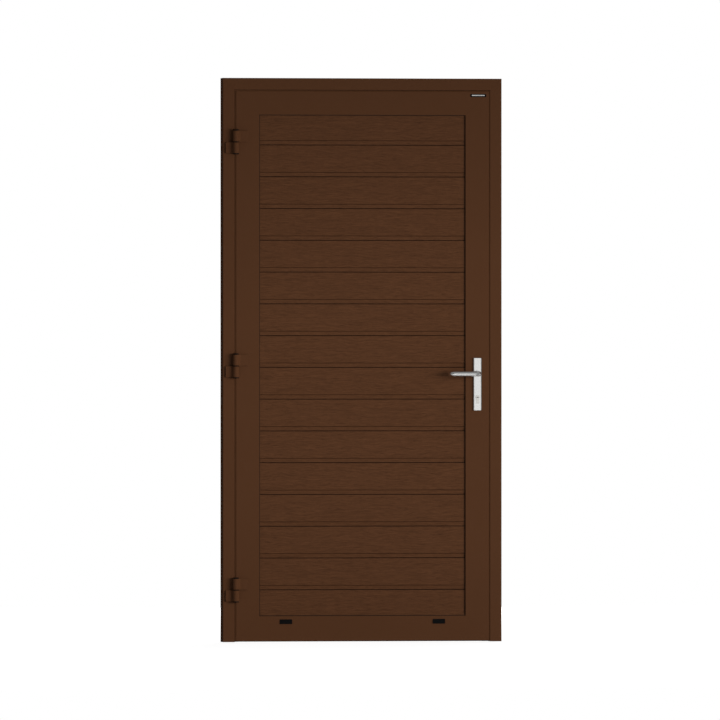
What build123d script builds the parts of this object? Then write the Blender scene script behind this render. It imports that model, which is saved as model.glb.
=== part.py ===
from build123d import *
from math import ceil
import os

# Aluminium utility door: a leaf with ribbed infill, hung on three surface hinges in a three-sided frame.
# X runs from the hinge side to the lock side, Y from the outside to the inside, and Z is up.
# The origin lies on the wall-side face of the hinge jamb, at floor level and at half the frame's depth.
# All lengths are millimetres.

# Frame
frame_width = 1100.0
frame_height = 2200.0
frame_face = 46.0
frame_depth = 70.0
frame_wall = 2.0
stop_width = 22.0
stop_thickness = 8.0
frame_edge_radius = 1.2

# Wall anchors through the frame
anchor_hole = 10.5
anchor_end_distance = 150.0
head_anchor_spacing = 600.0

# Leaf
leaf_gap = 5.0
floor_gap = 4.0
stop_gap = 5.0
stile_face = 92.0
bottom_rail_face = 97.0
leaf_wall = 2.0
nose_width = 16.0
nose_thickness = 5.0
leaf_edge_radius = 1.5
edge_bevel = 3.0

# Ribbed infill
infill_thickness = 26.0
infill_edge_clearance = 3.0
groove_pitch = 124.0
groove_band = 18.6
groove_depth = 2.0
groove_slot_height = 2.8
groove_slot_depth = 7.5
crease_width = 2.6
crease_depth = 1.5
least_end_flat = 60.0
infill_sections = 4
tongue_width = 6.0
tongue_height = 8.0
tongue_clearance = 0.3

# Glazing beads and seals
outer_seal_thickness = 2.5
outer_seal_proud = 2.5
inner_seal_thickness = 3.0
bead_wall = 2.0
bead_radius = 3.0
seal_clearance = 0.3
seal_pocket_width = 4.0
seal_pocket_depth = 5.0
seal_bulb_width = 10.0
seal_bulb_radius = 3.5
seal_from_face = 8.0
floor_seal_width = 6.0
floor_seal_root = 6.0
floor_seal_clearance = 1.0

# Hinges
hinge_inset = 199.0
hinge_axis_offset = 15.0
knuckle_radius = 12.5
knuckle_height = 43.0
knuckle_gap = 2.0
washer_height = 1.4
knuckle_chamfer = 0.8
hinge_cap_height = 4.0
hinge_cap_radius = 11.5
hinge_cap_chamfer = 1.0
pin_radius = 6.0
pin_clearance = 0.1
leaf_flap_reach = 50.0
frame_flap_reach = 39.0
flap_thickness = 8.0
flap_edge_radius = 1.0
flap_corner_radius = 3.0
web_from_axis = 4.5
web_width = 6.0
web_radius = 4.0

# Lock
handle_height = 1046.0
key_drop = 92.0
spindle_from_edge = 45.0
lock_case_depth = 66.0
lock_case_thickness = 15.0
lock_case_above = 50.0
lock_case_below = 130.0
faceplate_width = 24.0
faceplate_thickness = 3.0
faceplate_overlap = 20.0
faceplate_setback = 2.2
fit_clearance = 0.2
loose_clearance = 1.5
latch_height = 20.0
latch_thickness = 12.0
latch_slope = 9.0
dead_bolt_height = 34.0
dead_bolt_thickness = 9.0
bolt_length = 28.0
cylinder_radius = 8.5
cylinder_height = 33.0
cylinder_tail_width = 10.0
cylinder_proud = 1.5
cylinder_clearance = 0.3
plug_radius = 6.5
plug_proud = 0.8
keyway_width = 9.0
keyway_height = 2.6
keyway_depth = 12.0
strike_width = 24.0
strike_thickness = 2.0
strike_margin = 22.0
strike_opening_clearance = 2.0

# Handle
plate_width = 34.0
plate_height = 205.0
plate_above = 62.0
plate_thickness = 8.0
plate_side_radius = 5.0
plate_chamfer = 0.8
collar_radius = 13.0
collar_height = 5.0
collar_gap = 0.5
lever_radius = 10.0
lever_projection = 52.0
lever_length = 120.0
lever_return_gap = 22.0
lever_bend = 17.0
lever_tip_radius = 3.0
shank_radius = 8.0
shank_clearance = 0.3
spindle_side = 8.0
spindle_grip = 24.0

# Slot covers in the bottom rail
slot_from_middle = 302.0
slot_above_leaf = 75.0
cover_width = 48.0
cover_height = 18.0
cover_thickness = 3.0
cover_radius = 2.0
cover_rim = 2.5
cover_recess = 1.2
slot_width = 40.0
slot_height = 8.0
cover_peg_length = 6.0

# How far a cutter reaches past the face that it starts from
overcut = 1.0

# Places worked out from the sizes above
front = -frame_depth / 2
back = frame_depth / 2
stop_front = back - stop_thickness
leaf_back = stop_front - stop_gap
leaf_depth = leaf_back - front
leaf_left = frame_face + leaf_gap
leaf_right = frame_width - frame_face - leaf_gap
leaf_bottom = floor_gap
leaf_top = frame_height - frame_face - leaf_gap
leaf_middle_y = (front + leaf_back) / 2
tube_face = stile_face - nose_width
bottom_tube_face = bottom_rail_face - nose_width
infill_front = front + nose_thickness + outer_seal_thickness
infill_back = infill_front + infill_thickness
bead_front = infill_back + inner_seal_thickness
hinge_x = frame_face + leaf_gap / 2
hinge_y = front - hinge_axis_offset
lock_edge = leaf_right - faceplate_setback
spindle_x = leaf_right - spindle_from_edge
key_height = handle_height - key_drop

SIDES = ("hinge", "lock", "top", "bottom")
frame_rect = (0.0, frame_width, 0.0, frame_height)
leaf_rect = (leaf_left, leaf_right, leaf_bottom, leaf_top)
pocket_rect = (
    leaf_left + tube_face,
    leaf_right - tube_face,
    leaf_bottom + bottom_tube_face,
    leaf_top - tube_face,
)


os.makedirs("parts", exist_ok=True)


def save(name, shape):
    """Write one piece of the door to its own file."""
    export_step(shape, f"parts/{name}.step")


def prism(points, along, length):
    """A straight solid: a closed outline moved along a direction."""
    return extrude(make_face(Polyline(*points, close=True)), amount=length, dir=along)


def block(x0, x1, y0, y1, z0, z1):
    """A box between two corners."""
    middle = Pos((x0 + x1) / 2, (y0 + y1) / 2, (z0 + z1) / 2)
    return middle * Box(x1 - x0, y1 - y0, z1 - z0)


def edge_point(side, rect, inward, depth):
    """A point measured inward from one edge of a rectangle, and back from the front face."""
    x0, x1, z0, z1 = rect
    if side == "hinge":
        return (x0 + inward, front + depth, z0)
    if side == "lock":
        return (x1 - inward, front + depth, z0)
    if side == "top":
        return (x0, front + depth, z1 - inward)
    return (x0, front + depth, z0 + inward)


def edge_bar(side, rect, outline):
    """A bar along one edge of a rectangle, with the given section."""
    x0, x1, z0, z1 = rect
    upright = side in ("hinge", "lock")
    along = (0, 0, 1) if upright else (1, 0, 0)
    length = z1 - z0 if upright else x1 - x0
    return prism([edge_point(side, rect, u, d) for u, d in outline], along, length)


def round_bar(bar, side, rect, corners, radius):
    """Round the long edges of a bar that start at the given corners of its section."""
    axis = Axis.Z if side in ("hinge", "lock") else Axis.X
    long_edges = bar.edges().filter_by(axis)
    chosen = [long_edges.sort_by_distance(edge_point(side, rect, u, d))[0] for u, d in corners]
    return fillet(chosen, radius)


def mitre(side, rect, widths):
    """The part of a rectangle's border that belongs to one side, cut on its corners' diagonals."""
    x0, x1, z0, z1 = rect
    in_x0, in_x1 = x0 + widths["hinge"], x1 - widths["lock"]
    in_z0, in_z1 = z0 + widths["bottom"], z1 - widths["top"]
    corners = {
        "hinge": [(x0, z0), (in_x0, in_z0), (in_x0, in_z1), (x0, z1)],
        "lock": [(x1, z0), (in_x1, in_z0), (in_x1, in_z1), (x1, z1)],
        "top": [(x0, z1), (in_x0, in_z1), (in_x1, in_z1), (x1, z1)],
        "bottom": [(x0, z0), (in_x0, in_z0), (in_x1, in_z0), (x1, z0)],
    }[side]
    reach = 2 * frame_depth
    return prism([(x, -reach, z) for x, z in corners], (0, 1, 0), 2 * reach)


def rectangle(u0, u1, d0, d1):
    """A rectangular section outline."""
    return [(u0, d0), (u1, d0), (u1, d1), (u0, d1)]


def round_hole(side, position, along_edge, radius, length):
    """A round cutter square to a jamb or to the head."""
    if side == "top":
        return Pos(along_edge, position, frame_height) * Cylinder(radius, length)
    x = 0.0 if side == "hinge" else frame_width
    return Pos(x, position, along_edge) * Rot(0, 90, 0) * Cylinder(radius, length)


# Frame bars: a hollow box behind the face, and a stop along the inside with a pocket for the seal
frame_widths = {side: frame_face + stop_width for side in SIDES}
frame_widths["bottom"] = 0.0
stop_depth = stop_front - front
seal_middle = frame_face + seal_from_face + seal_bulb_width / 2
frame_outline = [
    (0, 0),
    (frame_face, 0),
    (frame_face, stop_depth),
    (frame_face + stop_width, stop_depth),
    (frame_face + stop_width, frame_depth),
    (0, frame_depth),
]
frame_chamber = rectangle(
    frame_wall, frame_face - frame_wall, frame_wall, frame_depth - frame_wall
)
seal_pocket = rectangle(
    seal_middle - seal_pocket_width / 2,
    seal_middle + seal_pocket_width / 2,
    stop_depth,
    stop_depth + seal_pocket_depth,
)
anchor_y = leaf_middle_y
anchor_reach = 2 * (frame_face + stop_width)
anchor_span = frame_height - 2 * anchor_end_distance
jamb_anchor_heights = [anchor_end_distance + anchor_span * i / 3 for i in range(4)]
head_anchor_places = [
    frame_width / 2 - head_anchor_spacing / 2,
    frame_width / 2 + head_anchor_spacing / 2,
]


def frame_bar(side):
    """One jamb or the head of the frame, mitred at the upper corners."""
    bar = edge_bar(side, frame_rect, frame_outline)
    rounded = [(0, 0), (frame_face, 0), (frame_face + stop_width, frame_depth)]
    bar = round_bar(bar, side, frame_rect, rounded, frame_edge_radius)
    bar -= edge_bar(side, frame_rect, frame_chamber)
    bar -= edge_bar(side, frame_rect, seal_pocket)
    places = head_anchor_places if side == "top" else jamb_anchor_heights
    for place in places:
        bar -= round_hole(side, anchor_y, place, anchor_hole / 2, anchor_reach)
    return bar & mitre(side, frame_rect, frame_widths)


def frame_seal(side):
    """The closing seal of one side: a root in the stop's pocket and a soft bulb in front of it."""
    left, right = seal_middle - seal_bulb_width / 2, seal_middle + seal_bulb_width / 2
    tip = stop_depth - stop_gap + seal_clearance
    bulb = edge_bar(side, frame_rect, rectangle(left, right, tip, stop_depth))
    bulb = round_bar(bulb, side, frame_rect, [(left, tip), (right, tip)], seal_bulb_radius)
    root = rectangle(
        seal_middle - seal_pocket_width / 2 + fit_clearance,
        seal_middle + seal_pocket_width / 2 - fit_clearance,
        stop_depth,
        stop_depth + seal_pocket_depth - fit_clearance,
    )
    bar = bulb + edge_bar(side, frame_rect, root)
    return bar & mitre(side, frame_rect, frame_widths)


# Leaf bars: a hollow tube with a nose in front that holds the infill
leaf_widths = {side: stile_face for side in SIDES}
leaf_widths["bottom"] = bottom_rail_face


def leaf_bar(side):
    """One stile or rail of the leaf, mitred at its corners, its edge bevelled to pass the frame."""
    face = leaf_widths[side]
    tube = face - nose_width
    outline = [
        (0, 0),
        (face, 0),
        (face, nose_thickness),
        (tube, nose_thickness),
        (tube, leaf_depth),
        (edge_bevel, leaf_depth),
    ]
    chamber = [
        (leaf_wall, leaf_wall),
        (tube - leaf_wall, leaf_wall),
        (tube - leaf_wall, leaf_depth - leaf_wall),
        (edge_bevel + leaf_wall, leaf_depth - leaf_wall),
    ]
    bar = edge_bar(side, leaf_rect, outline)
    bar = round_bar(bar, side, leaf_rect, [(0, 0), (face, 0)], leaf_edge_radius)
    bar -= edge_bar(side, leaf_rect, chamber)
    return bar & mitre(side, leaf_rect, leaf_widths)


# Infill: sections laid on each other, their joints in the lower lines of grooves
opening_bottom = leaf_bottom + bottom_rail_face
opening_top = leaf_top - stile_face
opening_height = opening_top - opening_bottom
groove_room = opening_height - 2 * least_end_flat - groove_band
groove_count = int(groove_room // groove_pitch) + 1
end_flat = (opening_height - groove_band - (groove_count - 1) * groove_pitch) / 2
groove_lines = [opening_bottom + end_flat + i * groove_pitch for i in range(groove_count)]
infill_bottom = pocket_rect[2] + infill_edge_clearance
infill_top = pocket_rect[3] - infill_edge_clearance
infill_left = pocket_rect[0] + infill_edge_clearance
infill_right = pocket_rect[1] - infill_edge_clearance
section_joints = [
    groove_lines[ceil(i * groove_count / infill_sections) - 1] for i in range(1, infill_sections)
]
section_edges = [infill_bottom, *section_joints, infill_top]


def ribbed_face(face, inward, low, high):
    """The edge line of a ribbed face: at each rib a slot, a band that slopes out of it, and a crease."""
    line = [] if low in groove_lines else [(face, low)]
    for z in groove_lines:
        if not low <= z < high:
            continue
        if z > low:
            line.append((face, z))
        crease = z + groove_band
        line += [
            (face + inward * groove_slot_depth, z),
            (face + inward * groove_slot_depth, z + groove_slot_height),
            (face + inward * groove_depth, z + groove_slot_height),
            (face, crease - crease_width / 2),
            (face + inward * crease_depth, crease),
            (face, crease + crease_width / 2),
        ]
    return [*line, (face, high)]


def infill_section(low, high):
    """One section of the infill, ribbed on both faces, with a tongue above and a groove below."""
    outer = ribbed_face(infill_front, 1, low, high)
    inner = ribbed_face(infill_back, -1, low, high)
    outline = outer + inner[::-1]
    section = prism([(infill_left, y, z) for y, z in outline], (1, 0, 0), infill_right - infill_left)
    middle = (infill_front + infill_back) / 2
    if high != infill_top:
        half = tongue_width / 2
        section += block(infill_left, infill_right, middle - half, middle + half, high, high + tongue_height)
    if low != infill_bottom:
        half = tongue_width / 2 + tongue_clearance
        top = low + tongue_height + tongue_clearance
        section -= block(infill_left, infill_right, middle - half, middle + half, low, top)
    return section


# Beads and seals round the infill
def glazing_bead(side):
    """A hollow bead that holds the infill from the inside, mitred at its corners."""
    near, far = bead_front - front, leaf_depth
    outline = rectangle(0, nose_width, near, far)
    chamber = rectangle(bead_wall, nose_width - bead_wall, near + bead_wall, far - bead_wall)
    bar = edge_bar(side, pocket_rect, outline)
    bar = round_bar(bar, side, pocket_rect, [(nose_width, far)], bead_radius)
    bar -= edge_bar(side, pocket_rect, chamber)
    return bar & mitre(side, pocket_rect, {name: nose_width for name in SIDES})


def ring(rect, inset, width, y0, y1):
    """A flat rectangular ring inside a rectangle."""
    x0, x1, z0, z1 = rect
    outer = block(x0 + inset, x1 - inset, y0, y1, z0 + inset, z1 - inset)
    edge = inset + width
    hollow = block(x0 + edge, x1 - edge, y0 - overcut, y1 + overcut, z0 + edge, z1 - edge)
    return outer - hollow


# Hinges
def hinge_wing(bottom, reach, sign):
    """The flap of one hinge half on the door's face, and the web that carries its knuckle."""
    flap_face = front - flap_thickness
    outline = [
        (web_from_axis, front),
        (web_from_axis, hinge_y),
        (knuckle_radius - knuckle_chamfer, hinge_y),
        (knuckle_radius + web_width, flap_face),
        (reach, flap_face),
        (reach, front),
    ]
    wing = prism([(hinge_x + sign * x, y, bottom) for x, y in outline], (0, 0, 1), knuckle_height)
    hollow_edge = (hinge_x + sign * (knuckle_radius + web_width), flap_face, bottom + knuckle_height / 2)
    wing = fillet(wing.edges().sort_by_distance(hollow_edge)[0], web_radius)
    free_end = wing.faces().filter_by(Axis.X).sort_by_distance((hinge_x + sign * reach, front, bottom))[0]
    wing = fillet(free_end.edges().filter_by(Axis.Y), flap_corner_radius)
    flap_middle = (hinge_x + sign * (reach - flap_corner_radius), flap_face, bottom + knuckle_height / 2)
    flap_front = wing.faces().filter_by(Axis.Y).sort_by_distance(flap_middle)[0]
    rim_start = reach - 2 * flap_corner_radius
    rim = [edge for edge in flap_front.edges() if abs(edge.center().X - hinge_x) > rim_start]
    return fillet(rim, flap_edge_radius)


def hinge_half(bottom, reach, sign, bore):
    """One half of a hinge, standing on the given height."""
    centre = Pos(hinge_x, hinge_y, bottom + knuckle_height / 2)
    knuckle = Cylinder(knuckle_radius, knuckle_height)
    knuckle = chamfer(knuckle.edges().filter_by(GeomType.CIRCLE), knuckle_chamfer)
    hole = Cylinder(bore, 2 * knuckle_height)
    return hinge_wing(bottom, reach, sign) + centre * knuckle - centre * hole


def hinge_pin(middle):
    """The pin of one hinge, with its two end caps and the washer between the knuckles."""
    half = knuckle_height + knuckle_gap / 2
    pin = Pos(hinge_x, hinge_y, middle) * Cylinder(pin_radius, 2 * (half + knuckle_gap))
    cap = Cylinder(hinge_cap_radius, hinge_cap_height)
    cap = chamfer(cap.edges().group_by(Axis.Z)[-1], hinge_cap_chamfer)
    top_cap = Pos(hinge_x, hinge_y, middle + half + hinge_cap_height / 2 + knuckle_gap / 2) * cap
    bottom_cap = Pos(hinge_x, hinge_y, middle - half - hinge_cap_height / 2) * Rot(180, 0, 0) * cap
    washer = Cylinder(hinge_cap_radius, washer_height)
    washer = Pos(hinge_x, hinge_y, middle + (washer_height - knuckle_gap) / 2) * washer
    return pin + top_cap + bottom_cap + washer


hinge_heights = {
    "bottom": leaf_bottom + hinge_inset,
    "middle": (leaf_bottom + leaf_top) / 2,
    "top": leaf_top - hinge_inset,
}


# Lock
def cylinder_outline(grow, y0, y1):
    """The keyhole-shaped section of the lock cylinder, made larger by a clearance."""
    radius = cylinder_radius + grow
    tail = cylinder_tail_width / 2 + grow
    low = key_height + cylinder_radius - cylinder_height
    middle = (y0 + y1) / 2
    barrel = Pos(spindle_x, middle, key_height) * Rot(90, 0, 0) * Cylinder(radius, y1 - y0)
    foot = low + cylinder_tail_width / 2
    heel = Pos(spindle_x, middle, foot) * Rot(90, 0, 0) * Cylinder(tail, y1 - y0)
    return barrel + heel + block(spindle_x - tail, spindle_x + tail, y0, y1, foot, key_height)


def through_bore(radius, y0, y1):
    """A round bore along the spindle's axis."""
    return Pos(spindle_x, (y0 + y1) / 2, handle_height) * Rot(90, 0, 0) * Cylinder(radius, y1 - y0)


case_top = handle_height + lock_case_above
case_bottom = handle_height - lock_case_below
case_front = leaf_middle_y - lock_case_thickness / 2
case_back = leaf_middle_y + lock_case_thickness / 2
faceplate_inner = lock_edge - faceplate_thickness
latch_middle = handle_height
dead_bolt_middle = key_height - cylinder_radius - dead_bolt_height / 2


def bolt(middle, height, thickness, grow, inner, outer):
    """A bolt, or with a clearance the hole that it slides in."""
    y0, y1 = leaf_middle_y - thickness / 2 - grow, leaf_middle_y + thickness / 2 + grow
    half = height / 2 + grow
    return block(inner, outer, y0, y1, middle - half, middle + half)


def both_bolts(grow, inner, outer):
    """The latch bolt and the dead bolt together, as a cutter."""
    latch = bolt(latch_middle, latch_height, latch_thickness, grow, inner, outer)
    return latch + bolt(dead_bolt_middle, dead_bolt_height, dead_bolt_thickness, grow, inner, outer)


def sloped_latch():
    """The latch bolt drawn back, its end sloped on the side that meets the strike plate first."""
    outside, inside = leaf_middle_y - latch_thickness / 2, leaf_middle_y + latch_thickness / 2
    outline = [
        (bolt_inner, outside),
        (lock_edge, outside),
        (lock_edge - latch_slope, inside),
        (bolt_inner, inside),
    ]
    low = latch_middle - latch_height / 2
    return prism([(x, y, low) for x, y in outline], (0, 0, 1), latch_height)


bolt_inner = faceplate_inner - bolt_length
faceplate_low = case_bottom - faceplate_overlap
faceplate_high = case_top + faceplate_overlap


def faceplate(grow, inner, outer):
    """The lock's face plate, or with a clearance the cut-out for it."""
    half = faceplate_width / 2 + grow
    return block(
        inner, outer, leaf_middle_y - half, leaf_middle_y + half, faceplate_low - grow, faceplate_high + grow
    )


def strike(grow, inner, outer):
    """The strike plate, or with a clearance the cut-out for it."""
    half = strike_width / 2 + grow
    low = dead_bolt_middle - dead_bolt_height / 2 - strike_margin - grow
    high = latch_middle + latch_height / 2 + strike_margin + grow
    return block(inner, outer, leaf_middle_y - half, leaf_middle_y + half, low, high)


# Handle
def mirrored_inside(shape):
    """The same piece on the inside of the leaf."""
    return mirror(shape, about=Plane(origin=(0, leaf_middle_y, 0), z_dir=(0, 1, 0)))


def outside_plate():
    """The long plate behind the lever, with a collar round the spindle and a hole for the cylinder."""
    x0, x1 = spindle_x - plate_width / 2, spindle_x + plate_width / 2
    top = handle_height + plate_above
    face = front - plate_thickness
    plate = block(x0, x1, face, front, top - plate_height, top)
    plate = fillet(plate.faces().sort_by(Axis.Y)[0].edges().filter_by(Axis.Z), plate_side_radius)
    ends = plate.faces().filter_by(Axis.Z).edges()
    plate = chamfer([edge for edge in ends if edge.center().Y < front - plate_chamfer], plate_chamfer)
    plate += through_bore(collar_radius, face - collar_height, face)
    plate -= through_bore(shank_radius + shank_clearance, face - 2 * collar_height, front + overcut)
    return plate - cylinder_outline(cylinder_clearance, face - overcut, front + overcut)


def round_run(start, end):
    """A straight run of the lever's round bar, between two places in its plane."""
    points = [Vector(x, y, handle_height) for x, y in (start, end)]
    section = Plane(origin=points[0], z_dir=points[1] - points[0]) * Circle(lever_radius)
    return extrude(section, amount=(points[1] - points[0]).length)


def round_elbow(centre, start, turn):
    """A quarter bend of the lever's round bar about a centre, from a place in its plane."""
    axis = Axis(origin=(*centre, handle_height), direction=(0, 0, turn))
    radial = Vector(start[0] - centre[0], start[1] - centre[1], 0)
    section = Plane(origin=(*start, handle_height), x_dir=radial, z_dir=radial.cross(Vector(0, 0, 1)))
    return revolve(section * Circle(lever_radius), axis, 90)


def outside_lever_solid():
    """The lever: a round bar bent out from the plate, along the door and back at its tip."""
    neck_start = front - plate_thickness - collar_height - collar_gap
    bar_y = front - lever_projection
    bend_y = bar_y + lever_bend
    tip_x = spindle_x - lever_length + lever_radius
    neck_bend_x, tip_bend_x = spindle_x - lever_bend, tip_x + lever_bend
    tip = (tip_x, front - lever_return_gap)
    lever = round_run((spindle_x, neck_start), (spindle_x, bend_y))
    lever += round_elbow((neck_bend_x, bend_y), (spindle_x, bend_y), -1)
    lever += round_run((neck_bend_x, bar_y), (tip_bend_x, bar_y))
    lever += round_elbow((tip_bend_x, bend_y), (tip_bend_x, bar_y), -1)
    lever += round_run((tip_x, bend_y), tip)
    tip_rim = lever.edges().filter_by(GeomType.CIRCLE).sort_by_distance((*tip, handle_height))[0]
    lever = fillet(tip_rim, lever_tip_radius)
    lever += through_bore(shank_radius, neck_start, front)
    half = spindle_side / 2
    hole = block(
        spindle_x - half,
        spindle_x + half,
        front - plate_thickness - spindle_grip,
        front + overcut,
        handle_height - half,
        handle_height + half,
    )
    return lever - hole


# Slot covers
def slot_cover(x, z):
    """A black cover: a shallow tray on the rail's face, with a peg behind it in the slot."""
    tray = block(
        x - cover_width / 2,
        x + cover_width / 2,
        front - cover_thickness,
        front,
        z - cover_height / 2,
        z + cover_height / 2,
    )
    tray = fillet(tray.edges().filter_by(Axis.Y), cover_radius)
    tray -= block(
        x - cover_width / 2 + cover_rim,
        x + cover_width / 2 - cover_rim,
        front - cover_thickness - overcut,
        front - cover_thickness + cover_recess,
        z - cover_height / 2 + cover_rim,
        z + cover_height / 2 - cover_rim,
    )
    half_w, half_h = slot_width / 2 - fit_clearance, slot_height / 2 - fit_clearance
    return tray + block(x - half_w, x + half_w, front, front + cover_peg_length, z - half_h, z + half_h)


# Frame pieces
save("hinge_jamb", frame_bar("hinge"))
save("head", frame_bar("top"))
strike_inner = frame_width - frame_face
strike_cut_end = strike_inner + frame_wall + overcut
lock_jamb = frame_bar("lock") - strike(fit_clearance, strike_inner - overcut, strike_cut_end)
save("lock_jamb", lock_jamb)
strike_plate = strike(0, strike_inner, strike_inner + strike_thickness)
strike_plate -= both_bolts(
    strike_opening_clearance, strike_inner - overcut, strike_inner + strike_thickness + overcut
)
save("strike_plate", strike_plate)
save("frame_seal_hinge_side", frame_seal("hinge"))
save("frame_seal_lock_side", frame_seal("lock"))
save("frame_seal_head", frame_seal("top"))

# Leaf bars, with the cut-outs for the lock, the handle and the slots
cover_height_above_floor = leaf_bottom + slot_above_leaf
cover_places = {
    "hinge_side": frame_width / 2 - slot_from_middle,
    "lock_side": frame_width / 2 + slot_from_middle,
}
save("hinge_stile", leaf_bar("hinge"))
save("top_rail", leaf_bar("top"))
lock_stile = leaf_bar("lock")
lock_stile -= faceplate(fit_clearance, faceplate_inner, leaf_right + overcut)
lock_stile -= through_bore(collar_radius, front - overcut, leaf_back + overcut)
lock_stile -= cylinder_outline(loose_clearance, front - overcut, leaf_back + overcut)
save("lock_stile", lock_stile)
bottom_rail = leaf_bar("bottom")
for x in cover_places.values():
    bottom_rail -= block(
        x - slot_width / 2,
        x + slot_width / 2,
        front - overcut,
        front + leaf_wall + overcut,
        cover_height_above_floor - slot_height / 2,
        cover_height_above_floor + slot_height / 2,
    )
floor_seal_y = leaf_middle_y
bottom_rail -= block(
    leaf_left - overcut,
    leaf_right + overcut,
    floor_seal_y - floor_seal_width / 2,
    floor_seal_y + floor_seal_width / 2,
    leaf_bottom - overcut,
    leaf_bottom + edge_bevel + leaf_wall,
)
save("bottom_rail", bottom_rail)
save(
    "floor_seal",
    block(
        leaf_left + leaf_wall + fit_clearance + bottom_rail_face,
        leaf_right - leaf_wall - fit_clearance - bottom_rail_face,
        floor_seal_y - floor_seal_width / 2,
        floor_seal_y + floor_seal_width / 2,
        floor_seal_clearance,
        leaf_bottom + floor_seal_root,
    ),
)
for place, x in cover_places.items():
    save(f"slot_cover_{place}", slot_cover(x, cover_height_above_floor))

# Infill, beads and seals
for number, (low, high) in enumerate(zip(section_edges, section_edges[1:]), start=1):
    save(f"infill_section_{number}", infill_section(low, high))
for side in SIDES:
    save(f"glazing_bead_{side}", glazing_bead(side))
outer_seal_width = nose_width - infill_edge_clearance + outer_seal_proud
save(
    "outer_glazing_seal",
    ring(pocket_rect, infill_edge_clearance, outer_seal_width, front + nose_thickness, infill_front),
)
inner_seal_width = nose_width - infill_edge_clearance
save(
    "inner_glazing_seal",
    ring(pocket_rect, infill_edge_clearance, inner_seal_width, infill_back, bead_front),
)

# Hinges
for place, height in hinge_heights.items():
    leaf_half_bottom = height + knuckle_gap / 2
    frame_half_bottom = height - knuckle_gap / 2 - knuckle_height
    leaf_half = hinge_half(leaf_half_bottom, leaf_flap_reach, 1, pin_radius + pin_clearance)
    frame_half = hinge_half(frame_half_bottom, frame_flap_reach, -1, pin_radius + pin_clearance / 2)
    save(f"{place}_hinge_leaf_half", leaf_half)
    save(f"{place}_hinge_frame_half", frame_half)
    save(f"{place}_hinge_pin", hinge_pin(height))

# Lock pieces
lock_case = block(
    faceplate_inner - lock_case_depth, faceplate_inner, case_front, case_back, case_bottom, case_top
)
lock_case -= through_bore(shank_radius + loose_clearance, case_front - overcut, case_back + overcut)
lock_case -= cylinder_outline(cylinder_clearance, case_front - overcut, case_back + overcut)
lock_case -= both_bolts(fit_clearance, bolt_inner - fit_clearance, faceplate_inner + overcut)
save("lock_case", lock_case)
lock_faceplate = faceplate(0, faceplate_inner, lock_edge)
lock_faceplate -= both_bolts(fit_clearance, faceplate_inner - overcut, lock_edge + overcut)
save("lock_faceplate", lock_faceplate)
save("latch_bolt", sloped_latch())
save("dead_bolt", bolt(dead_bolt_middle, dead_bolt_height, dead_bolt_thickness, 0, bolt_inner, lock_edge))
cylinder_front = front - plate_thickness - cylinder_proud
cylinder_back = leaf_back + plate_thickness + cylinder_proud
lock_cylinder = cylinder_outline(0, cylinder_front, cylinder_back)
key_plug = Pos(spindle_x, cylinder_front - plug_proud / 2, key_height) * Rot(90, 0, 0)
key_plug *= Cylinder(plug_radius, plug_proud)
keyway = block(
    spindle_x - keyway_width / 2,
    spindle_x + keyway_width / 2,
    cylinder_front - plug_proud - overcut,
    cylinder_front + keyway_depth,
    key_height - keyway_height / 2,
    key_height + keyway_height / 2,
)
lock_cylinder += key_plug + mirrored_inside(key_plug)
save("lock_cylinder", lock_cylinder - keyway - mirrored_inside(keyway))

# Handle pieces
plate = outside_plate()
save("outside_backplate", plate)
save("inside_backplate", mirrored_inside(plate))
lever = outside_lever_solid()
save("outside_lever", lever)
save("inside_lever", mirrored_inside(lever))
spindle_reach = plate_thickness + spindle_grip - fit_clearance
save(
    "spindle",
    block(
        spindle_x - spindle_side / 2,
        spindle_x + spindle_side / 2,
        front - spindle_reach,
        leaf_back + spindle_reach,
        handle_height - spindle_side / 2,
        handle_height + spindle_side / 2,
    ),
)
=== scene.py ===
import math

import bmesh
import bpy
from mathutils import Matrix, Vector


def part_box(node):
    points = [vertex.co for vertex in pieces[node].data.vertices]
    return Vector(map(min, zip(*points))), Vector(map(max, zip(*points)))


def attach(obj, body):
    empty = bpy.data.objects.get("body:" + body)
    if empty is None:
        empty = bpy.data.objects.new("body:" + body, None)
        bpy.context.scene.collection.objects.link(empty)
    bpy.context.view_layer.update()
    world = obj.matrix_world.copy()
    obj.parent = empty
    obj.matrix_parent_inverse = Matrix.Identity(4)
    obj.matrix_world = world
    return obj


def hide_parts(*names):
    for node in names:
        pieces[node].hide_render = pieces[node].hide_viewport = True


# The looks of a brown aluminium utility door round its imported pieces.
# Metres throughout: X from the hinge side to the lock side, Y from outside to inside, Z up.
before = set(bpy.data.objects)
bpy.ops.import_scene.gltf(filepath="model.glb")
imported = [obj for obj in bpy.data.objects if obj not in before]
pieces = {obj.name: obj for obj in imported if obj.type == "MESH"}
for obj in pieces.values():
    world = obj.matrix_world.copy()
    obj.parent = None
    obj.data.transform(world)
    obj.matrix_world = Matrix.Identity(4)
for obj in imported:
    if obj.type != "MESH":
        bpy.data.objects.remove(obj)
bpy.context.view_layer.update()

# Places of the door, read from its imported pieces
frame_low, frame_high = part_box("hinge_jamb")[0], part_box("lock_jamb")[1]
leaf_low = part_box("hinge_stile")[0]
leaf_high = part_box("lock_stile")[1]
outside_y = leaf_low.y
door_middle = (frame_low + frame_high) / 2
spindle_low, spindle_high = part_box("spindle")
spindle = (spindle_low + spindle_high) / 2
cylinder_low, cylinder_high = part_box("lock_cylinder")
cylinder_radius = (cylinder_high.x - cylinder_low.x) / 2
key_height = cylinder_high.z - cylinder_radius
COLLAR_HEIGHT = 0.005
SCREW_RADIUS = 0.004
UPRIGHT = math.radians(90)
SAME_PLACE = 0.00002  # places closer than this count as one

# Ribs of the infill: how many lie between two joints of its sections,
# and how far a crease is above its groove
RIBS_BETWEEN_JOINTS = 4
CREASE_RISE = 0.0186

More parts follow.
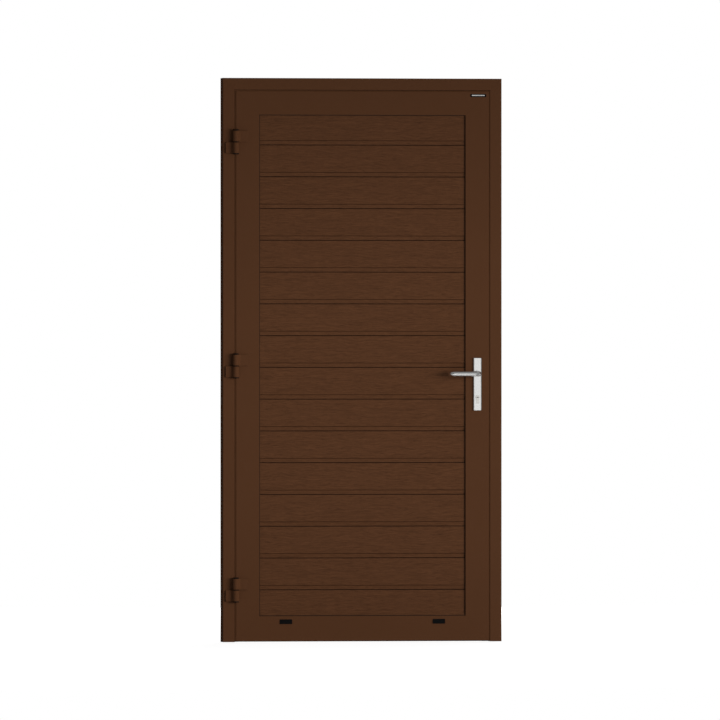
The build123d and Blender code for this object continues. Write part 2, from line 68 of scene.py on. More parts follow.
# Colours, linear
BROWN = (0.0825, 0.0332, 0.0140, 1.0)
SILVER = (0.78, 0.78, 0.765, 1.0)
NICKEL = (0.72, 0.70, 0.66, 1.0)
STEEL = (0.56, 0.56, 0.57, 1.0)
BLACK_RUBBER = (0.009, 0.009, 0.009, 1.0)
DARK_RUBBER = (0.022, 0.013, 0.009, 1.0)
BLACK_PLASTIC = (0.0045, 0.0045, 0.0045, 1.0)
SCREW_STEEL = (0.34, 0.34, 0.35, 1.0)
WHITE = (1.0, 1.0, 1.0, 1.0)
BLACK = (0.0, 0.0, 0.0, 1.0)


# Materials
def add_node(tree, kind, inputs=(), **settings):
    """A new node; inputs are values, or sockets to link from, by the names or numbers of its sockets."""
    made = tree.nodes.new(kind)
    for key, value in settings.items():
        setattr(made, key, value)
    for key, value in dict(inputs).items():
        put_in(tree, made.inputs[key], value)
    return made


def put_in(tree, socket, value):
    """Link a socket from another one, or set its value."""
    if isinstance(value, bpy.types.NodeSocket):
        tree.links.new(value, socket)
    else:
        socket.default_value = value


class Finish:
    """A surface finish: one Principled shader and the nodes that feed it."""

    def __init__(self, name, colour, roughness, metallic=0.0, specular=0.5):
        self.material = bpy.data.materials.new(name)
        self.material.use_nodes = True
        self.tree = self.material.node_tree
        self.shader = self.tree.nodes["Principled BSDF"]
        self.colour = colour
        self.shader.inputs["Base Color"].default_value = colour
        self.shader.inputs["Roughness"].default_value = roughness
        self.shader.inputs["Metallic"].default_value = metallic
        self.shader.inputs["Specular IOR Level"].default_value = specular
        self.place = self.node("ShaderNodeTexCoord").outputs["Object"]

    def node(self, kind, inputs=(), **settings):
        """A new node of this finish."""
        return add_node(self.tree, kind, inputs, **settings)

    def maths(self, operation, first, second=0.0):
        """One calculation with two values or sockets."""
        return self.node("ShaderNodeMath", {0: first, 1: second}, operation=operation).outputs[0]

    def stretched(self, scale):
        """The object's own coordinates, scaled along X, Y and Z."""
        return self.node("ShaderNodeMapping", {"Vector": self.place, "Scale": scale}).outputs[0]

    def noise(self, scale, vector=None, detail=2.0, roughness=0.5):
        """A noise over the object, at a scale in cells per metre."""
        inputs = {
            "Vector": vector or self.place,
            "Scale": scale,
            "Detail": detail,
            "Roughness": roughness,
        }
        return self.node("ShaderNodeTexNoise", inputs).outputs["Fac"]

    def spread(self, value, low, high, from_low=0.3, from_high=0.7):
        """Spread the part of a value between two limits over a wanted range."""
        inputs = {0: value, 1: from_low, 2: from_high, 3: low, 4: high}
        return self.node("ShaderNodeMapRange", inputs, clamp=True).outputs[0]

    def tint(self, factor, colour):
        """Mix the finish's colour towards another one by a factor from a socket."""
        mixed = self.node("ShaderNodeMix", {"Factor": factor}, data_type="RGBA")
        colour_sockets = [socket for socket in mixed.inputs if socket.type == "RGBA"]
        for socket, value in zip(colour_sockets, (self.colour, colour)):
            put_in(self.tree, socket, value)
        self.colour = next(socket for socket in mixed.outputs if socket.type == "RGBA")
        self.tree.links.new(self.colour, self.shader.inputs["Base Color"])

    def rough(self, value):
        """Let a socket drive the roughness."""
        self.tree.links.new(value, self.shader.inputs["Roughness"])

    def emboss(self, height, distance, strength=1.0):
        """Raise the surface by a height pattern, on top of what is raised already."""
        inputs = {"Height": height, "Distance": distance, "Strength": strength}
        if self.shader.inputs["Normal"].is_linked:
            inputs["Normal"] = self.shader.inputs["Normal"].links[0].from_socket
        bump = self.node("ShaderNodeBump", inputs)
        self.tree.links.new(bump.outputs[0], self.shader.inputs["Normal"])


def toned(colour, share):
    """A colour made darker by a share under one, or lighter by one above it."""
    return (colour[0] * share, colour[1] * share, colour[2] * share, 1.0)


def powder_coat(name):
    """Satin powder coat on smooth aluminium: fine orange peel, and a tone that drifts a little."""
    finish = Finish(name, BROWN, roughness=0.5, specular=0.08)
    finish.tint(finish.spread(finish.noise(3.0), 0.0, 0.10), toned(BROWN, 0.6))
    finish.tint(finish.spread(finish.noise(1600.0), 0.0, 0.12), toned(BROWN, 1.6))
    finish.rough(finish.spread(finish.noise(25.0, detail=3.0), 0.47, 0.57))
    finish.emboss(finish.noise(520.0, detail=1.0), 0.00008, 0.5)
    return finish


def frame_paint():
    """Powder coat with the hairlines of the frame's mitres."""
    finish = powder_coat("frame_powder_coat")
    return mitred(finish, frame_low.x, frame_high.x, [(frame_high.z, -1.0)])


def leaf_paint():
    """Powder coat with the hairlines of the leaf's mitres."""
    finish = powder_coat("leaf_powder_coat")
    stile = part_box("hinge_stile")[1].x - leaf_low.x
    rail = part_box("bottom_rail")[1].z - leaf_low.z
    return mitred(finish, leaf_low.x, leaf_high.x, [(leaf_high.z, -1.0), (leaf_low.z, stile / rail)])


def mitred(finish, left, right, corners):
    """Darken a hairline along the mitre at each corner height; a slope says how the cut runs from there."""
    half_width, depth, dirt = 0.00015, 0.0002, 0.8
    x, _, z = finish.node("ShaderNodeSeparateXYZ", {0: finish.place}).outputs
    from_middle = finish.maths("ABSOLUTE", finish.maths("SUBTRACT", x, (left + right) / 2))
    inward = finish.maths("SUBTRACT", (right - left) / 2, from_middle)
    for height, slope in corners:
        along = finish.maths("MULTIPLY", finish.maths("SUBTRACT", z, height), slope)
        off = finish.maths("ABSOLUTE", finish.maths("SUBTRACT", inward, along))
        line = finish.maths("LESS_THAN", off, half_width)
        finish.tint(finish.maths("MULTIPLY", line, dirt), toned(BROWN, 0.15))
        finish.emboss(finish.maths("SUBTRACT", 1.0, line), depth)
    return finish.material


def hinge_paint():
    """Powder coat with painted shade: a dark band where the two knuckles of each hinge meet, deepening the
    shadow line in the gap between them.
    """
    finish = powder_coat("hinge_powder_coat")
    past_pin, painted_shade_core, painted_shade_edge = 0.0016, 0.0018, 0.0026
    pin_low, pin_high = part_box("top_hinge_pin")
    x, y, z = finish.node("ShaderNodeSeparateXYZ", {0: finish.place}).outputs
    across = finish.maths("SUBTRACT", x, (pin_low.x + pin_high.x) / 2)
    outward = finish.maths("SUBTRACT", y, (pin_low.y + pin_high.y) / 2)
    squares = [finish.maths("POWER", distance, 2.0) for distance in (across, outward)]
    from_axis = finish.maths("SQRT", finish.maths("ADD", *squares))
    on_knuckle = finish.maths("LESS_THAN", from_axis, (pin_high.x - pin_low.x) / 2 + past_pin)
    for place in ("bottom", "middle", "top"):
        frame_half, leaf_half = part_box(f"{place}_hinge_frame_half"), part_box(f"{place}_hinge_leaf_half")
        meeting = (frame_half[1].z + leaf_half[0].z) / 2
        off = finish.maths("ABSOLUTE", finish.maths("SUBTRACT", z, meeting))
        # Painted shade: the colour darkens in a band on the knuckles round each gap where they meet, where
        # shadow falls.
        painted_shade = finish.spread(off, 0.9, 0.0, painted_shade_core, painted_shade_edge)
        finish.tint(finish.maths("MULTIPLY", painted_shade, on_knuckle), toned(BROWN, 0.12))
    return finish.material


def wood_grain_paint():
    """Satin paint over sheet embossed with a fine, level wood grain, with painted shade that darkens the
    grooves and creases.
    """
    finish = Finish("wood_grain_paint", BROWN, roughness=0.48, specular=0.09)
    wander_height = 0.035
    wander = finish.noise(1.0, finish.stretched((7.0, 7.0, 14.0)), detail=2.0)
    lift = finish.maths("MULTIPLY", finish.maths("SUBTRACT", wander, 0.5), wander_height)
    offset = finish.node("ShaderNodeCombineXYZ", {"Z": lift}).outputs[0]
    bent = finish.node("ShaderNodeVectorMath", {0: finish.place, 1: offset}, operation="ADD").outputs[0]

    def streaks(length_scale, height_scale, detail):
        """A noise drawn out along the grain."""
        inputs = {"Vector": bent, "Scale": (length_scale, height_scale, height_scale)}
        vector = finish.node("ShaderNodeMapping", inputs).outputs[0]
        return finish.noise(1.0, vector, detail=detail, roughness=0.65)

    broad = streaks(9.0, 170.0, 3.0)
    fine = streaks(26.0, 600.0, 3.0)
    pores = finish.spread(streaks(40.0, 1400.0, 1.0), 0.0, 1.0, 0.58, 0.66)
    finish.tint(finish.spread(broad, 0.0, 0.6), toned(BROWN, 0.6))
    finish.tint(finish.spread(fine, 0.0, 0.52), toned(BROWN, 1.72))
    finish.tint(finish.maths("MULTIPLY", pores, 0.55), toned(BROWN, 0.45))
    low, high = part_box("infill_section_1")
    _, y, z = finish.node("ShaderNodeSeparateXYZ", {0: finish.place}).outputs
    # Painted shade: deep in each groove the colour darkens, where shade falls inside it.
    groove_mouth, groove_depth = 0.0018, 0.0027
    depth = below_faces(finish, y, low.y, high.y)
    finish.tint(finish.spread(depth, 0.0, 0.9, groove_mouth, groove_depth), toned(BROWN, 0.12))
    joint, next_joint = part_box("infill_section_2")[0].z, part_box("infill_section_3")[0].z
    pitch = (next_joint - joint) / RIBS_BETWEEN_JOINTS
    # Painted shade: a dark line along each crease above its groove, where the crease is shaded.
    crease_core, crease_edge = 0.0009, 0.0015
    off = finish.maths("PINGPONG", finish.maths("SUBTRACT", z, joint + CREASE_RISE), pitch / 2)
    finish.tint(finish.spread(off, 0.45, 0.0, crease_core, crease_edge), toned(BROWN, 0.2))
    finish.rough(finish.spread(fine, 0.56, 0.44))
    finish.emboss(broad, 0.0005, 0.6)
    finish.emboss(fine, 0.00025, 0.7)
    finish.emboss(pores, 0.00015, 0.8)
    return finish.material


def below_faces(finish, y, front, back):
    """How deep a place lies below the nearer of a front and a back face."""
    return finish.maths("MINIMUM", finish.maths("SUBTRACT", y, front), finish.maths("SUBTRACT", back, y))


def lock_nickel():
    """Satin nickel, with painted shade that darkens the keyways at both ends of the cylinder."""
    finish = satin_metal("satin_nickel", NICKEL, 0.26, (1.0, 0.05, 1.0))
    # Painted shade: the colour inside each keyway darkens nearly to black, where shade falls in the slot.
    keyway_mouth, keyway_dark = 0.0026, 0.0034
    y = finish.node("ShaderNodeSeparateXYZ", {0: finish.place}).outputs[1]
    depth = below_faces(finish, y, cylinder_low.y, cylinder_high.y)
    inside = finish.spread(depth, 0.0, 1.0, keyway_mouth, keyway_dark)
    finish.tint(finish.maths("MULTIPLY", inside, 0.97), toned(NICKEL, 0.01))
    return finish.material


def satin_metal(name, colour, roughness, stretch, grain=900.0):
    """Satin metal with a fine grain, drawn out where the stretch is small."""
    finish = Finish(name, colour, roughness, metallic=1.0)
    drawn = finish.noise(grain, finish.stretched(stretch), detail=2.0)
    finish.tint(finish.spread(drawn, 0.0, 0.22), toned(colour, 0.75))
    finish.tint(finish.spread(finish.noise(18.0), 0.0, 0.10), toned(colour, 0.8))
    finish.rough(finish.spread(drawn, roughness - 0.03, roughness + 0.04))
    finish.emboss(drawn, 0.00003, 0.6)
    return finish


def rubber(name, colour):
    """Extruded seal rubber: dull, with dust in patches."""
    finish = Finish(name, colour, 0.75, specular=0.08)
    finish.tint(finish.spread(finish.noise(60.0, detail=3.0), 0.0, 0.25), toned(colour, 1.6))
    finish.rough(finish.spread(finish.noise(140.0), 0.68, 0.84))
    finish.emboss(finish.noise(900.0), 0.00006, 0.6)
    return finish.material


def moulded_plastic():
    """Black moulded plastic with a fine spark-eroded texture."""
    finish = Finish("black_moulded_plastic", BLACK_PLASTIC, 0.55, specular=0.04)
    finish.tint(finish.spread(finish.noise(45.0), 0.0, 0.3), toned(BLACK_PLASTIC, 2.0))
    finish.rough(finish.spread(finish.noise(220.0), 0.48, 0.64))
    finish.emboss(finish.noise(2200.0, detail=1.0), 0.00005, 0.7)
    return finish.material


FRAME_PAINT = frame_paint()
LEAF_PAINT = leaf_paint()
HINGE_PAINT = hinge_paint()
GRAIN_PAINT = wood_grain_paint()
HANDLE_METAL = satin_metal("satin_anodised_aluminium", SILVER, 0.22, (1.0, 1.0, 1.0), 1400.0).material
CYLINDER_METAL = lock_nickel()
LOCK_METAL = satin_metal("brushed_steel", STEEL, 0.36, (1.0, 1.0, 0.03)).material
SEAL_RUBBER = rubber("seal_rubber", BLACK_RUBBER)
GLAZING_RUBBER = rubber("glazing_seal_rubber", DARK_RUBBER)
EDGE_RUBBER = rubber("edge_seal_rubber", toned(BROWN, 0.9))
PLASTIC = moulded_plastic()
SCREW_METAL = satin_metal("zinc_plated_screw", SCREW_STEEL, 0.3, (1.0, 1.0, 1.0), 1800.0).material

SLOT_FINISH = {
    "frame_paint": FRAME_PAINT,
    "leaf_paint": LEAF_PAINT,
    "infill_paint": GRAIN_PAINT,
    "hinge_paint": HINGE_PAINT,
    "handle_metal": HANDLE_METAL,
    "cylinder_nickel": CYLINDER_METAL,
    "lock_steel": LOCK_METAL,
    "seal_rubber": SEAL_RUBBER,
    "black_plastic": PLASTIC,
}


def slot_of(name):
    """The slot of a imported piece, by its name."""
    if "seal" in name:
        return "seal_rubber"
    if name.startswith("slot_cover") or name.endswith("hinge_pin"):
        return "black_plastic"
    if name.startswith("infill"):
        return "infill_paint"
    if name.endswith(("hinge_leaf_half", "hinge_frame_half")):
        return "hinge_paint"
    if name.endswith("jamb") or name == "head":
        return "frame_paint"
    if name.endswith(("stile", "rail")) or name.startswith("glazing_bead"):
        return "leaf_paint"
    if name.endswith(("backplate", "lever")):
        return "handle_metal"
    if name == "lock_cylinder":
        return "cylinder_nickel"
    return "lock_steel"


OWN_FINISH = {"outer_glazing_seal": GLAZING_RUBBER}
for name, piece in pieces.items():
    for material_slot in piece.material_slots:
        material_slot.material = OWN_FINISH.get(name, SLOT_FINISH[slot_of(name)])


# Modelling
def select_faces(piece, wanted):
    """Select the faces of the piece in edit mode whose centre and normal are wanted."""
    bpy.ops.mesh.select_mode(type="FACE")
    mesh = bmesh.from_edit_mesh(piece.data)
    for face in mesh.faces:
        face.select_set(bool(wanted(face.calc_center_median(), face.normal)))
    bmesh.update_edit_mesh(piece.data)


def select_edges(piece, wanted):
    """Select the edges of the piece in edit mode whose two ends are wanted."""
    bpy.ops.mesh.select_mode(type="EDGE")
    mesh = bmesh.from_edit_mesh(piece.data)
    for edge in mesh.edges:
        edge.select_set(bool(wanted([vertex.co for vertex in edge.verts])))
    bmesh.update_edit_mesh(piece.data)


def all_near(values, wanted, near):
    """Whether every value is near a wanted one."""
    return all(abs(value - wanted) < near for value in values)


def new_piece(name):
    """Name the primitive that was just added and open it in edit mode, with nothing selected."""
    piece = bpy.context.active_object
    piece.name = piece.data.name = name
    bpy.ops.object.transform_apply(location=True, rotation=True, scale=True)
    bpy.ops.object.mode_set(mode="EDIT")
    bpy.ops.mesh.select_all(action="DESELECT")
    return piece


def done(piece, body, slot, finish=None, smooth_angle=35.0):
    """Leave edit mode, shade the piece, and give it a body and its own finish, or else the finish of the
    slot.
    """
    bpy.ops.object.mode_set(mode="OBJECT")
    bpy.ops.object.shade_smooth_by_angle(angle=math.radians(smooth_angle))
    bpy.ops.object.transform_apply(location=True, rotation=True, scale=True)
    piece.data.materials.clear()
    piece.data.materials.append(finish or SLOT_FINISH[slot])
    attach(piece, body)


def screw_head():
    """A screw head with a six-pointed socket, whose face looks up from the origin; every screw is a copy."""
    radius, thickness, socket_depth, corners = SCREW_RADIUS, 0.0026, 0.0018, 24
    rim, land, rounding, narrowing = radius * 0.12, radius * 0.33, radius * 0.1, 0.7
    bpy.ops.object.select_all(action="DESELECT")
    place = (0, 0, -thickness / 2)
    bpy.ops.mesh.primitive_cylinder_add(vertices=corners, radius=radius, depth=thickness, location=place)
    piece = new_piece("screw_head")
    select_faces(piece, lambda centre, normal: normal.z > 0.9)
    bpy.ops.mesh.inset(thickness=rim)
    bpy.ops.mesh.inset(thickness=land)
    bpy.ops.mesh.select_mode(type="VERT")
    mesh = bmesh.from_edit_mesh(piece.data)
    socket_edge = [vertex for vertex in mesh.verts if vertex.select]
    socket_edge.sort(key=lambda vertex: math.atan2(vertex.co.y, vertex.co.x))
    for number, vertex in enumerate(socket_edge):
        vertex.select_set(number // 2 % 2 == 1)
    mesh.select_flush_mode()
    bmesh.update_edit_mesh(piece.data)
    bpy.ops.transform.resize(value=(narrowing, narrowing, 1.0))
    select_faces(piece, lambda centre, normal: normal.z > 0.9 and centre.xy.length < radius * 0.1)
    bpy.ops.mesh.extrude_region_move(TRANSFORM_OT_translate={"value": (0, 0, -socket_depth)})

    def on_rim(ends):
        near = 0.02 * radius
        at_top = all_near([end.z for end in ends], 0.0, near)
        return at_top and all_near([end.xy.length for end in ends], radius, near)

    select_edges(piece, on_rim)
    bpy.ops.mesh.bevel(offset=rounding, segments=2)
    bpy.ops.object.mode_set(mode="OBJECT")
    return piece


def screw(head, name, place, direction, radius, body, slot="lock_steel"):
    """A copy of the screw head, turned to a direction, with its face a little proud of a place."""
    proud = 0.0003
    bpy.ops.object.select_all(action="DESELECT")
    head.select_set(True)
    bpy.context.view_layer.objects.active = head
    bpy.ops.object.duplicate(linked=False)
    piece = bpy.context.active_object
    piece.name = piece.data.name = name
    piece.scale = [radius / SCREW_RADIUS] * 3
    piece.rotation_euler = Vector(direction).to_track_quat("Z", "Y").to_euler()
    piece.location = Vector(place) + Vector(direction) * proud
    done(piece, body, slot, SCREW_METAL)


def screws():
    """The screws of the face plate, cylinder, strike plate, inside plate and both levers."""
    head = screw_head()
    # The radius of each kind, and how far each lies from the end or face of what it holds
    lock_screw, cylinder_screw, plate_screw, grub_screw = 0.0042, 0.0034, 0.0036, 0.0021
    from_lock_end, from_plate_end, before_collar = 0.009, 0.016, 0.0048
    low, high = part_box("lock_faceplate")
    middle = (low.y + high.y) / 2
    for place, z in (("upper", high.z - from_lock_end), ("lower", low.z + from_lock_end)):
        screw(head, f"faceplate_screw_{place}", (high.x, middle, z), (1, 0, 0), lock_screw, "leaf")
    screw(head, "cylinder_screw", (high.x, middle, key_height), (1, 0, 0), cylinder_screw, "leaf")
    low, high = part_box("strike_plate")
    middle = (low.y + high.y) / 2
    for place, z in (("upper", high.z - from_lock_end), ("lower", low.z + from_lock_end)):
        screw(head, f"strike_screw_{place}", (low.x, middle, z), (-1, 0, 0), lock_screw, "frame")
    low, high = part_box("inside_backplate")
    for place, z in (("upper", high.z - from_plate_end), ("lower", low.z + from_plate_end)):
        face = (spindle.x, high.y - COLLAR_HEIGHT, z)
        screw(head, f"inside_plate_screw_{place}", face, (0, 1, 0), plate_screw, "leaf", "handle_metal")
    outside_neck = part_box("outside_backplate")[0].y - before_collar
    inside_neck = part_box("inside_backplate")[1].y + before_collar
    for side, neck in (("outside", outside_neck), ("inside", inside_neck)):
        under = (spindle.x, neck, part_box(f"{side}_lever")[0].z)
        screw(head, f"{side}_grub_screw", under, (0, 0, -1), grub_screw, "handle", "handle_metal")
    bpy.data.objects.remove(head)


def name_plate():
    """The small plate at the top of the leaf: a black base and a bare silver strip."""
    middle = (1.0075, 2.1340)
    base_size, base_thickness, base_corner = (0.062, 0.0105), 0.0012, 0.002
    strip_size, strip_thickness, strip_corner = (0.050, 0.0040), 0.0006, 0.001
    base = small_plate("plate_base", middle, base_size, outside_y, base_thickness, base_corner)
    done(base, "leaf", "black_plastic")
    base_face = outside_y - base_thickness
    strip = small_plate("plate_strip", middle, strip_size, base_face, strip_thickness, strip_corner)
    done(strip, "leaf", "handle_metal")


def small_plate(name, middle, size, back, thickness, corner):
    """A thin plate on a face that looks outside, with round corners and a raised rim."""
    width, height = size
    rim, slope, sink = thickness * 0.5, thickness * 0.8, thickness * 0.25
    bpy.ops.object.select_all(action="DESELECT")
    place = (middle[0], back - thickness / 2, middle[1])
    bpy.ops.mesh.primitive_cube_add(size=1, location=place, scale=(width, thickness, height))
    piece = new_piece(name)
    select_edges(piece, lambda ends: abs(ends[0].y - ends[1].y) > 0.9 * (ends[0] - ends[1]).length)
    bpy.ops.mesh.bevel(offset=corner, segments=5)
    select_faces(piece, lambda centre, normal: normal.y < -0.9)
    bpy.ops.mesh.inset(thickness=rim)
    bpy.ops.mesh.inset(thickness=slope, depth=-sink)
    return piece


def shift_where(piece, wanted, step):
    """Move the selected corners that are in a wanted place by a step, and leave the rest where they are."""
    bpy.ops.mesh.select_mode(type="VERT")
    mesh = bmesh.from_edit_mesh(piece.data)
    moved = [vertex.select and wanted(vertex.co) for vertex in mesh.verts]
    if not any(moved):
        return
    kept = [vertex.index for vertex in mesh.verts if vertex.select]
    for vertex, move in zip(mesh.verts, moved):
        vertex.select_set(move)
    mesh.select_flush_mode()
    bmesh.update_edit_mesh(piece.data)
    bpy.ops.transform.translate(value=step)
    mesh = bmesh.from_edit_mesh(piece.data)
    mesh.verts.ensure_lookup_table()
    for index in kept:
        mesh.verts[index].select_set(True)
    mesh.select_flush_mode()
    bmesh.update_edit_mesh(piece.data)


def leaf_edge_seal():
    """A lip seal on both sides and the top of the leaf, whose lip reaches across the gap to the frame."""
    left, right, bottom, top = leaf_low.x, leaf_high.x, leaf_low.z, leaf_high.z
    middle, middle_height = (left + right) / 2, (bottom + top) / 2
    lip_front, root_back, tuck = outside_y + 0.0022, outside_y + 0.0105, 0.0003
    # The section's line from the lip's front to its root: each step outward, and towards the inside
    steps = [
        (0.0036 + tuck, -0.0006),
        (0.0003, 0.0004),
        (-0.0003, 0.0004),
        (-0.0026, 0.0009),
        (0.0, 0.0062),
        (-0.0010 - tuck, 0.0),
        (0.0, lip_front - root_back + 0.0010),
    ]
    bpy.ops.object.select_all(action="DESELECT")
    place = (middle, lip_front, middle_height)
    size = (right - left - 2 * tuck, top - bottom - 2 * tuck, 1)
    bpy.ops.mesh.primitive_plane_add(size=1, location=place, rotation=(UPRIGHT, 0, 0))
    bpy.context.active_object.scale = size
    piece = new_piece("leaf_edge_seal")
    bpy.ops.mesh.select_all(action="SELECT")
    bpy.ops.mesh.delete(type="ONLY_FACE")
    select_edges(piece, lambda ends: all(end.z < middle_height for end in ends))
    bpy.ops.mesh.delete(type="EDGE")
    bpy.ops.mesh.select_all(action="SELECT")
    for outward, back in steps:
        bpy.ops.mesh.extrude_edges_move(TRANSFORM_OT_translate={"value": (0, back, 0)})
        if outward:
            shift_where(piece, lambda place: place.x < middle, (-outward, 0, 0))
            shift_where(piece, lambda place: place.x > middle, (outward, 0, 0))
            shift_where(piece, lambda place: place.z > middle_height, (0, 0, outward))
        bpy.ops.mesh.select_mode(type="EDGE")
    bpy.ops.mesh.select_all(action="SELECT")
    bpy.ops.mesh.remove_doubles(threshold=SAME_PLACE)
    bpy.ops.mesh.fill_holes(sides=0)
    bpy.ops.mesh.normals_make_consistent(inside=False)
    done(piece, "leaf", "seal_rubber", EDGE_RUBBER)


def floor_lip_seal():
    """The seal under the leaf, from side to side: two lips under a strip, and its root in the rail."""
    end_gap, bite = 0.0025, 0.0002
    lip_foot, lip_length, narrowing, rounding = 0.0009, 0.0019, 0.7, 0.0003
    low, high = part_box("floor_seal")
    left, right = leaf_low.x + end_gap, leaf_high.x - end_gap
    top = leaf_low.z + bite
    middle = ((left + right) / 2, (low.y + high.y) / 2, (low.z + top) / 2)
    size = (right - left, high.y - low.y, top - low.z)
    bpy.ops.object.select_all(action="DESELECT")
    bpy.ops.mesh.primitive_cube_add(size=1, location=middle, scale=size)
    piece = new_piece("floor_lip_seal")
    for root_end in (low.x, high.x):
        bpy.ops.mesh.select_all(action="SELECT")
        bpy.ops.mesh.bisect(plane_co=(root_end, 0, 0), plane_no=(1, 0, 0))
    select_faces(piece, lambda centre, normal: normal.z > 0.9 and low.x < centre.x < high.x)
    bpy.ops.mesh.extrude_region_move(TRANSFORM_OT_translate={"value": (0, 0, high.z - top)})
    select_faces(piece, lambda centre, normal: normal.z < -0.9)
    bpy.ops.mesh.inset(thickness=lip_foot)
    bpy.ops.mesh.extrude_region_move(TRANSFORM_OT_translate={"value": (0, 0, lip_length)})
    bpy.ops.transform.resize(value=(1, narrowing, 1))

    def on_outer_rim(ends):
        at_bottom = all_near([end.z for end in ends], low.z, SAME_PLACE)
        across = [end.y for end in ends]
        return at_bottom and any(all_near(across, side, SAME_PLACE) for side in (low.y, high.y))

    select_edges(piece, on_outer_rim)
    bpy.ops.mesh.bevel(offset=rounding, segments=2)
    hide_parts("floor_seal")
    done(piece, "leaf", "seal_rubber", EDGE_RUBBER)


screws()
name_plate()
leaf_edge_seal()
floor_lip_seal()


# Stage: a pale floor, a white surround, soft lamps and dark screens that the camera doesn't see
PHOTO_PIXELS = 720
MILLIMETRE_PER_PIXEL = 3.905
CAMERA_AZIMUTH = math.radians(-8.5)
CAMERA_DISTANCE = 50.0
SENSOR = 36.0
LEFT_OF_MIDDLE = 0.0098
AMBIENT = 0.35
FLOOR_SIZE, FLOOR_DROP = 14.0, 0.002
FLOOR_BOUNCE, FLOOR_TONE = 0.85, 0.28  # its tone to bounced light and to the eye
GLOW_NEAR, GLOW_FAR = 0.9, 1.0  # its glow to the eye, by the door and further out
GLOW_FROM, GLOW_TO = 1.0, 3.0  # how far out, in metres, the glow grows


def photo_camera():
    """A long lens level with the door's middle, a little to its hinge side, as in the photograph."""
    camera = bpy.data.objects.new("photo_camera", bpy.data.cameras.new("photo_camera"))
    bpy.context.scene.collection.objects.link(camera)
    side = Vector((math.cos(CAMERA_AZIMUTH), math.sin(CAMERA_AZIMUTH), 0))
    back = Vector((math.sin(CAMERA_AZIMUTH), -math.cos(CAMERA_AZIMUTH), 0))
    target = Vector((door_middle.x, outside_y, door_middle.z)) - side * LEFT_OF_MIDDLE
    camera.location = target + back * CAMERA_DISTANCE
    camera.rotation_euler = (-back).to_track_quat("-Z", "Y").to_euler()
    camera.data.sensor_width = SENSOR
    seen = PHOTO_PIXELS * MILLIMETRE_PER_PIXEL / 1000
    camera.data.lens = SENSOR * CAMERA_DISTANCE / seen
    camera.data.clip_start, camera.data.clip_end = 1.0, 200.0
    bpy.context.scene.camera = camera


def seen_rays(tree):
    """One or more for the rays that the eye follows, straight, in metal or through glass; else none."""
    rays = add_node(tree, "ShaderNodeLightPath").outputs
    total = rays["Is Camera Ray"]
    for kind in ("Is Glossy Ray", "Is Transmission Ray"):
        total = add_node(tree, "ShaderNodeMath", {0: total, 1: rays[kind]}, operation="ADD").outputs[0]
    return total


def white_surround(ambient):
    """A world that is white to the eye, in metal and in glass, and lights the object softly."""
    world = bpy.data.worlds.new("white_surround")
    bpy.context.scene.world = world
    world.use_nodes = True
    tree = world.node_tree
    tree.nodes.clear()
    strengths = {"Value": seen_rays(tree), "To Min": ambient}
    strength = add_node(tree, "ShaderNodeMapRange", strengths, clamp=True).outputs[0]
    background = add_node(tree, "ShaderNodeBackground", {"Color": WHITE, "Strength": strength})
    add_node(tree, "ShaderNodeOutputWorld", {"Surface": background.outputs[0]})


def pale_floor():
    """A white floor that shows a faint shadow of the object and glows white to the eye further out."""
    bpy.ops.object.select_all(action="DESELECT")
    bpy.ops.mesh.primitive_plane_add(size=FLOOR_SIZE, location=(door_middle.x, 0, -FLOOR_DROP))
    floor = bpy.context.active_object
    floor.name = "studio_floor"
    material = bpy.data.materials.new("floor_white")
    material.use_nodes = True
    tree = material.node_tree
    tree.nodes.clear()
    seen = seen_rays(tree)
    tones = {"Value": seen, "To Min": FLOOR_BOUNCE, "To Max": FLOOR_TONE}
    tone = add_node(tree, "ShaderNodeMapRange", tones).outputs[0]
    diffuse = add_node(tree, "ShaderNodeBsdfDiffuse", {"Color": tone}).outputs[0]
    place = add_node(tree, "ShaderNodeTexCoord").outputs["Object"]
    away = add_node(tree, "ShaderNodeVectorMath", {0: place}, operation="LENGTH").outputs["Value"]
    shares = {
        "Value": away,
        "From Min": GLOW_FROM,
        "From Max": GLOW_TO,
        "To Min": GLOW_NEAR,
        "To Max": GLOW_FAR,
    }
    share = add_node(tree, "ShaderNodeMapRange", shares).outputs[0]
    strength = add_node(tree, "ShaderNodeMath", {0: seen, 1: share}, operation="MULTIPLY").outputs[0]
    glow = add_node(tree, "ShaderNodeEmission", {"Strength": strength}).outputs[0]
    both = add_node(tree, "ShaderNodeAddShader", {0: diffuse, 1: glow}).outputs[0]
    add_node(tree, "ShaderNodeOutputMaterial", {"Surface": both})
    floor.data.materials.append(material)


def soft_lamp(name, azimuth, height, distance, size, power):
    """A wide soft lamp that looks at the door's middle; azimuth 0 is in front, 90 on the lock side."""
    lamp = bpy.data.objects.new(name, bpy.data.lights.new(name, "AREA"))
    bpy.context.scene.collection.objects.link(lamp)
    turn = math.radians(azimuth)
    middle = Vector((door_middle.x, 0, door_middle.z))
    lamp.location = middle + Vector((math.sin(turn), -math.cos(turn), 0)) * distance + Vector((0, 0, height))
    lamp.rotation_euler = (middle - lamp.location).to_track_quat("-Z", "Y").to_euler()
    lamp.data.shape = "RECTANGLE"
    lamp.data.size, lamp.data.size_y = size
    lamp.data.energy = power
    lamp.visible_glossy = False


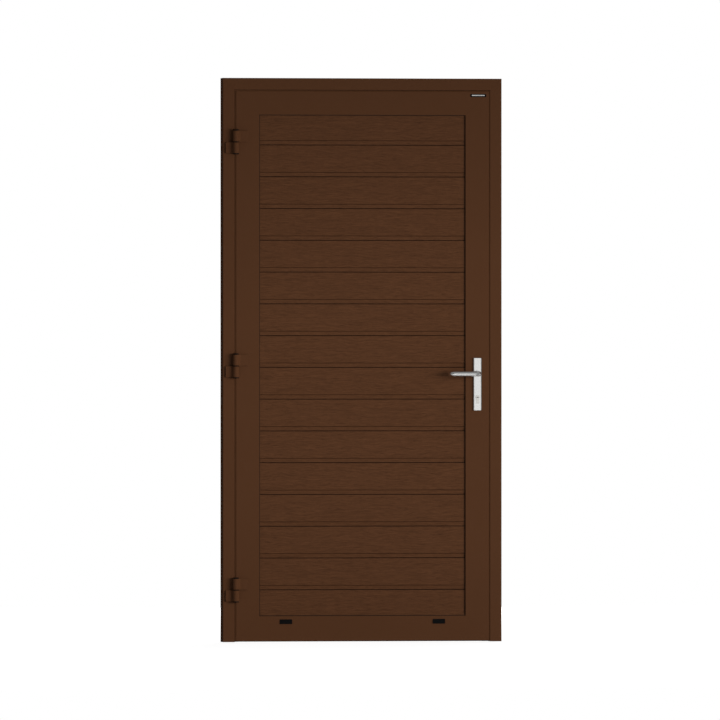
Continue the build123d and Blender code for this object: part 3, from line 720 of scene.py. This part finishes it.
def screen(name, place, size, turn, tone, only_reflected):
    """A dark screen, unseen by the camera, that dims light and reflections, or reflections alone."""
    bpy.ops.object.select_all(action="DESELECT")
    bpy.ops.mesh.primitive_plane_add(size=1, location=place, rotation=turn)
    card = bpy.context.active_object
    card.name = name
    card.scale = (*size, 1)
    material = bpy.data.materials.new(name)
    material.use_nodes = True
    shader = material.node_tree.nodes["Principled BSDF"]
    shader.inputs["Base Color"].default_value = BLACK
    shader.inputs["Specular IOR Level"].default_value = 0.0
    shader.inputs["Emission Color"].default_value = (tone, tone, tone, 1)
    shader.inputs["Emission Strength"].default_value = 1.0
    card.data.materials.append(material)
    card.visible_camera = False
    card.visible_diffuse = card.visible_shadow = not only_reflected


photo_camera()
white_surround(AMBIENT)
pale_floor()
soft_lamp("key_lamp", azimuth=42, height=0.7, distance=14.0, size=(11.5, 4.6), power=1750)
soft_lamp("back_lamp", azimuth=160, height=1.2, distance=7.0, size=(3.6, 3.6), power=420)

# Each screen: its name, place, size, turn, tone, and whether it only shows in reflections
for row in (
    ("screen_above_front", (-0.8, -6.6, 3.6), (7.0, 3.0), (UPRIGHT, 0, 0), 0.25, False),
    ("screen_before_lamp", (3.9, -4.0, 3.34), (5.0, 2.0), (UPRIGHT, 0, math.radians(40)), 0.25, False),
    ("screen_above", (0.5, -1.8, 4.9), (9.0, 9.0), (0, 0, 0), 0.25, False),
    ("screen_front_left", (-2.4, -3.4, 2.1), (3.2, 4.2), (UPRIGHT, 0, math.radians(-50)), 0.15, False),
    ("screen_left", (-3.4, 0.9, 2.1), (4.2, 6.2), (0, UPRIGHT, 0), 0.2, False),
    ("screen_right", (4.8, 0.2, 2.1), (4.2, 5.4), (0, UPRIGHT, 0), 0.25, False),
    ("screen_behind_left", (-1.7, 4.0, 2.1), (3.4, 4.2), (UPRIGHT, 0, 0), 0.02, False),
    ("screen_front_right", (5.2, -4.4, 2.1), (3.6, 4.2), (UPRIGHT, 0, math.radians(44)), 0.22, True),
    ("screen_low_left", (-2.05, 2.0, 0.0005), (4.1, 5.0), (0, 0, 0), 0.02, True),
    ("screen_low_front", (-0.3, -0.6, 0.0005), (3.0, 0.9), (0, 0, 0), 0.3, True),
    ("screen_low_right", (2.9, -1.9, 0.0005), (3.2, 4.4), (0, 0, 0), 0.3, True),
):
    screen(*row)

bpy.context.scene.view_settings.view_transform = "Standard"
